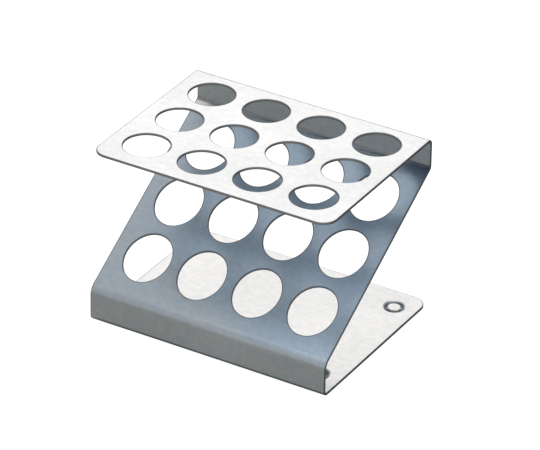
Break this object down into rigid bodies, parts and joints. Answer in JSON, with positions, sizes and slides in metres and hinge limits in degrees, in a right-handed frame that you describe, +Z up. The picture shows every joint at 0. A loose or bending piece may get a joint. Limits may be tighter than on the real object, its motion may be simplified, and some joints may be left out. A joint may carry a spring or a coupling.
{
  "type": "test tube rack",
  "caption": "Z-shaped bench rack bent from one perforated sheet of satin stainless steel, on small push-in feet, for holding test tubes upright.",
  "frame": {"origin": "on the table, under the middle of the rack's outline seen from above", "axes": "+X along the four-hole rows, to the right seen from the front; +Y from the front lip to the open rear edge; +Z up"},
  "size_m": [0.102, 0.0794, 0.0757],
  "materials": {
    "stainless_sheet": "satin stainless steel with a fine grain across the rack",
    "foot_plastic": "soft white plastic, slightly translucent"
  },
  "bodies": {
    "root": {"rack_sheet": "stainless_sheet", "foot_front_left": "foot_plastic", "foot_front_right": "foot_plastic", "foot_rear_left": "foot_plastic", "foot_rear_right": "foot_plastic"}
  },
  "joints": []
}
